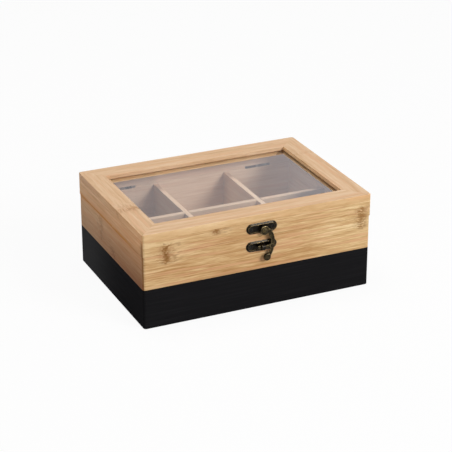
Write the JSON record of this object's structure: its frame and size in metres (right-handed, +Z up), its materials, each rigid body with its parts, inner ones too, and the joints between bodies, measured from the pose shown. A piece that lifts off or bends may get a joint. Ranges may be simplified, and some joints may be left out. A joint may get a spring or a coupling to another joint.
{
  "type": "tea bag box",
  "caption": "Bamboo tea bag box with a glazed hinged lid, divided compartments, a black painted lower band and a bronze swing latch.",
  "frame": {"origin": "centre of the underside of the closed box, on the surface it stands on", "axes": "+X to the right along the front, +Y to the hinged back, +Z up"},
  "size_m": [0.21, 0.1556, 0.085],
  "materials": {
    "painted_wall": "bare bamboo with a clear satin coat above, matte black paint on the lower band",
    "bottom_board": "satin",
    "divider_board": "satin",
    "lid_rim": "satin",
    "lid_frame": "satin",
    "window_glass": "clear",
    "hinge_leaf": "antique bronze",
    "hinge_pin": "plain",
    "small_screws": "bronzed",
    "latch_plate": "antique bronze",
    "latch_screws": "bronzed",
    "latch_arm": "antique bronze"
  },
  "bodies": {
    "box": {"front_wall": "painted_wall", "back_wall": "painted_wall", "left_wall": "painted_wall", "right_wall": "painted_wall", "bottom_panel": "bottom_board", "cross_divider": "divider_board", "left_divider": "divider_board", "right_divider": "divider_board", "left_hinge_body_leaf": "hinge_leaf", "right_hinge_body_leaf": "hinge_leaf", "left_hinge_pin": "hinge_pin", "right_hinge_pin": "hinge_pin", "hinge_body_screws": "small_screws", "keeper_plate": "latch_plate", "keeper_screws": "latch_screws"},
    "lid": {"lid_rim_front": "lid_rim", "lid_rim_back": "lid_rim", "lid_rim_left": "lid_rim", "lid_rim_right": "lid_rim", "lid_front_rail": "lid_frame", "lid_back_rail": "lid_frame", "lid_left_stile": "lid_frame", "lid_right_stile": "lid_frame", "window_pane": "window_glass", "left_hinge_lid_leaf": "hinge_leaf", "right_hinge_lid_leaf": "hinge_leaf", "hinge_lid_screws": "small_screws", "latch_plate": "latch_plate", "latch_screws": "latch_screws", "latch_rivet": "latch_arm"},
    "clasp_arm": {"latch_arm": "latch_arm"}
  },
  "joints": [
    {"name": "lid_hinge", "type": "hinge", "parent": "box", "child": "lid", "pos_m": [0, 0.0735, 0.0649], "axis": [-1, 0, 0], "range_deg": [0, 100]},
    {"name": "latch_swing", "type": "hinge", "parent": "lid", "child": "clasp_arm", "pos_m": [0.003, -0.075, 0.0712], "axis": [0, -1, 0], "range_deg": [0, 95]}
  ]
}
